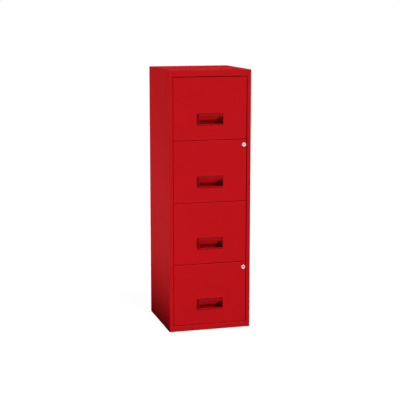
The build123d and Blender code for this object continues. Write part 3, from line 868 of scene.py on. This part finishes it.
class CABINET_OT_handles(Operator):
    """Moulds the recessed grips: a finger cup behind a bezel, and a bowed card slot on its left"""

    bl_idname = "cabinet.handles"
    bl_label = "Grips"

    def execute(self, context):
        sizes = context.scene.cabinet_sizes
        for n in DRAWERS:
            low, high = corners(f"drawer_{n}_handle")
            place = (0, low[1] + sizes.grip_proud, (low[2] + high[2]) / 2)
            shells = [shifted(shell, place) for shell in (self.cup(sizes), self.slot_frame(sizes, low[0]))]
            node = f"drawer_{n}_handle"
            piece(f"grip_{n}", shells, f"drawer_{n}", "red_moulding", node)
        return {"FINISHED"}

    def bezel(self, sizes, x, radius, bow=0.0):
        """Outer rim: from the sheet, round a quarter-round edge to the bezel's front."""
        rows = [(i, drop - sizes.grip_proud) for i, drop in rolled_edge(sizes.grip_edge, 5)]
        loops = []
        for i, y in [(0.0, 0.0), *rows]:
            edge = outline((x[0] + i, x[1] - i), (i - BEZEL_HALF, BEZEL_HALF - i), radius - i / 2, bow)
            loops.append(at_depth(edge, y))
        return loops

    def cup(self, sizes):
        """Rounded rectangles stacked by depth. Their top follows the finger space's profile, rounded at its
        bends, and its parallel a wall further out; their bottom steps back behind the lower lip."""
        thick = sizes.grip_wall
        inner_corner, outer_corner, rim = 0.002, 0.003, 0.0006
        line, normal = rounded_path(CUP_TOP, -thick, CUP_BEND, 6)
        outer = line + normal * thick
        grown = (CUP_X[0] - thick, CUP_X[1] + thick)
        below = CUP_FLOOR - thick
        loops = [at_depth(outline(grown, (below, top), outer_corner), depth) for depth, top in outer[::-1]]
        loops += self.bezel(sizes, CUP_BEZEL_X, 0.004)
        top = line[0, 1]
        for inset, drop in rolled_edge(rim, 4, turned=True):
            grow = rim - inset
            x, z = (CUP_X[0] - grow, CUP_X[1] + grow), (CUP_LIP - grow, top + grow)
            loops.append(at_depth(outline(x, z, outer_corner + grow), rim - drop - sizes.grip_proud))
        lip_rows = [LIP_DEPTH - LIP_STEP, LIP_DEPTH, LIP_DEPTH + LIP_STEP]
        depths = np.unique(np.concatenate([line[:, 0], lip_rows]))
        tops = np.interp(depths, line[:, 0], line[:, 1])
        bottoms = np.interp(depths, lip_rows[1:], [CUP_LIP, CUP_FLOOR])
        for depth, z in zip(depths, zip(bottoms, tops)):
            loops.append(at_depth(outline(CUP_X, z, inner_corner), depth))
        return stacked(loops)

    def slot_frame(self, sizes, left):
        """Bowed frame on the left, with a deep slot that narrows behind its rim."""
        corner, front = 0.002, -sizes.grip_proud
        outside = (-0.0645, -0.0572, SLOT_HALF + 0.0006)
        inside = (
            (-0.0652, -0.0574, SLOT_HALF + 0.0008, front),
            (-0.0649, -0.0575, SLOT_HALF + 0.0004, front + 0.0002),
            (-0.0646, -0.0576, SLOT_HALF, front + 0.0008),
            (-0.0641, -0.0576, SLOT_HALF, -0.0002),
            (-0.0639, -0.0576, SLOT_HALF, 0.007),
        )

        def ring(start, end, half, y):
            return at_depth(outline((start, end), (-half, half), corner, sizes.grip_bow), y)

        loops = [ring(*outside, 0.0078), ring(*outside, 0.0)]
        loops += self.bezel(sizes, (left, SLOT_BEZEL_END), 0.003, sizes.grip_bow)
        return stacked(loops + [ring(*row) for row in inside])


class CABINET_OT_catches(Operator):
    """Makes the thumb catches and the clear label strips in the grips"""

    bl_idname = "cabinet.catches"
    bl_label = "Catches and labels"

    def execute(self, context):
        proud = context.scene.cabinet_sizes.grip_proud
        for n in DRAWERS:
            low, high = corners(f"drawer_{n}_handle")
            place = (0, low[1] + proud, (low[2] + high[2]) / 2)
            catch = [shifted(shell, place) for shell in self.catch()]
            piece(f"thumb_{n}", catch, f"catch_{n}", "black_nylon", f"drawer_{n}_thumb_catch")
            strip, node = shifted(self.strip(), place), f"drawer_{n}_label_window"
            piece(f"label_{n}", [strip], f"drawer_{n}", "clear_strip", node)
            repaint(f"drawer_{n}_latch_bar", "zinc_steel")
        return {"FINISHED"}

    def catch(self):
        """Triangle with rounded corners and a rolled rim, four finger ridges and a stem."""
        arrow = np.array([CATCH_TIP, CATCH_LOW, CATCH_HIGH])
        front, rear, corner, rim = -0.0014, 0.0012, 0.0022, 0.0012
        rows = [(i, front + drop) for i, drop in rolled_edge(rim, 4, turned=True)]
        loops = [at_depth(inset_polygon(arrow, i, corner - i / 2), y) for i, y in rows]
        loops.append(at_depth(inset_polygon(arrow, 0.0, corner), rear))
        shells = [stacked(loops)]
        ridge_half, ridge_y, edge = 0.0006, (front - 0.0004, front + 0.0006), 0.0004
        for share in (0.50, 0.62, 0.74, 0.86):
            x = CATCH_TIP[0] + (CATCH_LOW[0] - CATCH_TIP[0]) * share
            z = CATCH_TIP[1] + (np.array([CATCH_LOW[1], CATCH_HIGH[1]]) - CATCH_TIP[1]) * share * 0.78
            shells.append(slab((x - ridge_half, ridge_y[0], z[0]), (x + ridge_half, ridge_y[1], z[1]), edge))
        stem_low, stem_high = (0.041, 0.0010, -0.004), (0.049, 0.0034, 0.004)
        shells.append(slab(stem_low, stem_high, edge))
        return shells

    def strip(self):
        """Rounded rectangle drawn on the sloping panel, and its copies along the panel's normal."""
        upper, lower = (np.array(point) for point in CUP_TOP[:2])
        panel = np.linalg.norm(lower - upper)
        along = (lower - upper) / panel
        away = np.array([along[1], -along[0]])
        start, end = (panel * share for share in STRIP_SPAN)
        gap, thick, rim, corner = 0.0001, 0.0011, 0.0004, 0.0012
        loops = []
        for i, rise in [(0.0, gap)] + [(i, thick - drop) for i, drop in rolled_edge(rim, 3)]:
            edge = outline((STRIP_X[0] + i, STRIP_X[1] - i), (start + i, end - i), corner)
            places = upper + edge[:, 1:] * along + away * rise
            loops.append(np.column_stack([edge[:, 0], places]))
        return stacked(loops)


class CABINET_OT_locks(Operator):
    """Turns the lock barrels and cuts the plugs' keyways"""

    bl_idname = "cabinet.locks"
    bl_label = "Locks"

    def execute(self, context):
        for lock, n in LOCKS.items():
            low, high = corners(f"{lock}_barrel")
            centre = ((low[0] + high[0]) / 2, (low[2] + high[2]) / 2)
            face = corners(f"drawer_{n}_front")[0][1]
            barrel = stacked(turned_part(centre, self.barrel_profile(low, high, face)), ring=True)
            piece(f"{lock}_cylinder", [barrel], f"drawer_{n}", "nickel", f"{lock}_barrel")
            plug = self.plug(*corners(f"{lock}_plug"), centre)
            piece(f"{lock}_core", plug, lock, "nickel", f"{lock}_plug", finish="satin")
            repaint(f"{lock}_nut", "nickel")
            repaint(f"{lock}_cam", "zinc_steel")
        return {"FINISHED"}

    def barrel_profile(self, low, high, face):
        """Radius and Y round the section: rear, body, flange, rolled rim, dished front and bore."""
        rim = (high[0] - low[0]) / 2
        bore, body, bevel = 0.00558, 0.008, 0.0004
        dish_depth, land = 0.0003, 0.0016
        dish = low[1] + dish_depth
        profile = [(bore, high[1]), (body - bevel, high[1]), (body, high[1] - bevel)]
        profile += [(body, face), (rim, face)]
        profile += [(rim - i, low[1] + drop) for i, drop in rolled_edge(0.0011, 5)]
        profile += [(rim - land, low[1]), (rim - land - 0.0005, dish), (bore + dish_depth, dish)]
        return profile + [(bore, dish + dish_depth)]

    def plug(self, low, high, centre):
        """Circles from the rear to a rolled front edge, then an upright slot carried inwards."""
        radius, rim = 0.0055, 0.0004
        tail_half, tail_length, tail_edge = 0.003, 0.0022, 0.0003
        slot_half_x, slot_half_z, slot_edge, slot_depth = 0.0006, 0.0035, 0.0003, 0.008
        steps, rear = 9, high[1] - tail_length
        count = 4 * (steps + 1)
        angle = math.pi / 2 + (np.arange(count) + 0.5) * (2 * math.pi / count)
        circle = np.column_stack([np.cos(angle), np.sin(angle)])
        rows = [(radius, rear)] + [(radius - i, low[1] + drop) for i, drop in rolled_edge(rim, 3)]
        loops = [at_depth(circle * r, y) for r, y in rows]
        for grow, depth in ((slot_edge, 0.0), (0.0, 0.0004), (0.0, slot_depth)):
            half_x, half_z = slot_half_x + grow, slot_half_z + grow
            slot = outline((-half_x, half_x), (-half_z, half_z), half_x, steps=steps, side=0)
            loops.append(at_depth(slot, low[1] + depth))
        sunk = 0.0001
        tail = slab((-tail_half, rear - sunk, -tail_half), (tail_half, high[1], tail_half), tail_edge)
        return [shifted(shell, (centre[0], 0, centre[1])) for shell in (stacked(loops), tail)]


class CABINET_OT_glides(Operator):
    """Turns the floor glides"""

    bl_idname = "cabinet.glides"
    bl_label = "Glides"

    def execute(self, context):
        sizes = context.scene.cabinet_sizes
        low, high = corners("floor_glides")
        radius, stem, rim, bevel = 0.015, 0.004, 0.0022, 0.0008
        seat, shrink, around = low[2] + sizes.base_plate, 0.0006, 40
        profile = [(radius - i, low[2] + drop) for i, drop in rolled_edge(rim, 5, turned=True)]
        profile += [(radius - shrink, seat), (stem, seat), (stem, high[2] - bevel), (stem - bevel, high[2])]
        angle = np.arange(around) * (2 * math.pi / around)
        circle = np.column_stack([np.cos(angle), np.sin(angle)])
        glide = stacked([np.column_stack([r * circle, np.full(around, z)]) for r, z in profile])
        across, along = high[0] - radius, high[1] - radius
        places = [(x, y, 0) for x in (-across, across) for y in (-along, along)]
        shells = [shifted(glide, place) for place in places]
        piece("glides", shells, "cabinet", "black_nylon", "floor_glides")
        repaint("slide_uprights", "red_enamel")
        return {"FINISHED"}


class CABINET_OT_stage(Operator):
    """Sets the floor, the lights, the surroundings and the camera"""

    bl_idname = "cabinet.stage"
    bl_label = "Studio"

    def execute(self, context):
        self.floor(context)
        self.sun(context, "key", (0.30, -0.64, 0.70), 3.25, True)
        self.sun(context, "rim", (0.30, 0.80, 0.30), 0.9, False)
        self.bounce(context, "left", -1, 2.2)
        self.bounce(context, "right", 1, 0.5)
        self.surroundings(context)
        self.camera(context)
        context.scene.view_settings.view_transform = "Standard"
        return {"FINISHED"}

    def floor(self, context):
        half = 9.0
        mesh = bpy.data.meshes.new("floor")
        square = [(-half, -half, 0), (half, -half, 0), (half, half, 0), (-half, half, 0)]
        mesh.from_pydata(square, [], [(0, 1, 2, 3)])
        finish = Finish(bpy.data.materials.new("studio_floor"))
        ahead = finish.ramp(finish.part("Y"), -0.3, -1.6)
        mottle = 0.97 + 0.06 * finish.noise(3.0)
        white = tint(context.scene.cabinet_colours.floor, 1.0)
        seen = finish.node("ShaderNodeEmission", inputs={"Color": white, "Strength": 1.06 * mottle})
        grey = tint(white[:3], 0.12)
        lit = finish.node("ShaderNodeBsdfDiffuse", inputs={"Color": grey, "Roughness": 0.5})
        both = finish.node("ShaderNodeAddShader", inputs={0: seen, 1: lit})
        glow = 0.01 + 1.0 * ahead
        mirrored_in = finish.node("ShaderNodeEmission", inputs={"Color": white, "Strength": glow})
        unseen = finish.chosen("Is Glossy Ray", lit, mirrored_in)
        finish.finished(finish.chosen("Is Camera Ray", unseen, both))
        mesh.materials.append(finish.holder)
        floor = bpy.data.objects.new("floor", mesh)
        context.scene.collection.objects.link(floor)

    def surroundings(self, context):
        """White to the camera, dim to diffuse rays, bright to mirrored rays from ahead and from the sides."""
        world = bpy.data.worlds.new("studio")
        context.scene.world = world
        finish = Finish(world)
        direction = finish.node("ShaderNodeTexCoord", output="Generated")
        x, y = finish.part("X", direction), finish.part("Y", direction)
        ahead = finish.ramp(y, 0.0, -0.8)
        abeam = finish.ramp(x * x, 0.4, 0.9)
        glossy = finish.path("Is Glossy Ray") * (0.01 + 0.9 * ahead + 0.6 * abeam)
        strength = finish.path("Is Camera Ray") + glossy + 0.25 * finish.path("Is Diffuse Ray")
        inputs = {"Color": (1.0, 1.0, 1.0, 1.0), "Strength": strength}
        finish.finished(finish.node("ShaderNodeBackground", inputs=inputs), "ShaderNodeOutputWorld")

    def sun(self, context, name, towards, strength, mirrored_in):
        light = bpy.data.lights.new(name, "SUN")
        light.energy = strength
        light.angle = SUN_ANGLE
        lamp = bpy.data.objects.new(name, light)
        lamp.rotation_euler = Vector(towards).to_track_quat("Z", "Y").to_euler()
        lamp.visible_glossy = mirrored_in
        context.scene.collection.objects.link(lamp)

    def bounce(self, context, name, sign, radiance):
        """A panel of light lying on the floor beside the cabinet, which stops short of it."""
        light = bpy.data.lights.new(name, "AREA")
        light.shape = "RECTANGLE"
        light.size, light.size_y = 12.0, 6.0
        light.energy = radiance * math.pi * light.size * light.size_y
        lamp = bpy.data.objects.new(name, light)
        gap, behind, above = 0.55, 2.1, 0.004
        lamp.location = (sign * (gap + light.size / 2), behind, above)
        lamp.rotation_euler = (math.pi, 0, 0)
        lamp.visible_camera = False
        lamp.visible_glossy = False
        context.scene.collection.objects.link(lamp)

    def camera(self, context):
        lens = bpy.data.cameras.new("camera")
        lens.lens = CAMERA_LENS
        lens.sensor_width = 36.0
        lens.clip_end = 50.0
        made = bpy.data.objects.new("camera", lens)
        made.location = CAMERA_PLACE
        made.rotation_euler = Euler([math.radians(angle) for angle in CAMERA_TURN])
        context.scene.collection.objects.link(made)
        context.scene.camera = made


class CABINET_PT_panel(Panel):
    """Sidebar panel with every part of the cabinet and its sizes and colours"""

    bl_idname = "CABINET_PT_panel"
    bl_label = "Filing cabinet"
    bl_space_type = "VIEW_3D"
    bl_region_type = "UI"
    bl_category = "Cabinet"

    def draw(self, context):
        column = self.layout.column(align=True)
        for operator in OPERATORS:
            column.operator(operator.bl_idname)
        for group in (context.scene.cabinet_sizes, context.scene.cabinet_colours):
            box = self.layout.box()
            for name in group.bl_rna.properties.keys()[2:]:
                box.prop(group, name)


OPERATORS = (
    CABINET_OT_carcass,
    CABINET_OT_fronts,
    CABINET_OT_trays,
    CABINET_OT_slides,
    CABINET_OT_handles,
    CABINET_OT_catches,
    CABINET_OT_locks,
    CABINET_OT_glides,
    CABINET_OT_stage,
)
GROUPS = {"cabinet_sizes": CabinetSizes, "cabinet_colours": CabinetColours}


def register():
    for cls in (*GROUPS.values(), *OPERATORS, CABINET_PT_panel):
        bpy.utils.register_class(cls)
    for name, group in GROUPS.items():
        setattr(bpy.types.Scene, name, PointerProperty(type=group))


def unregister():
    for name in GROUPS:
        delattr(bpy.types.Scene, name)
    for cls in (CABINET_PT_panel, *reversed(OPERATORS), *GROUPS.values()):
        bpy.utils.unregister_class(cls)


def main():
    register()
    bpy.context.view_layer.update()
    bpy.ops.cabinet.carcass()
    bpy.ops.cabinet.fronts()
    bpy.ops.cabinet.trays()
    bpy.ops.cabinet.slides()
    bpy.ops.cabinet.handles()
    bpy.ops.cabinet.catches()
    bpy.ops.cabinet.locks()
    bpy.ops.cabinet.glides()
    bpy.ops.cabinet.stage()


if __name__ == "__main__":
    main()
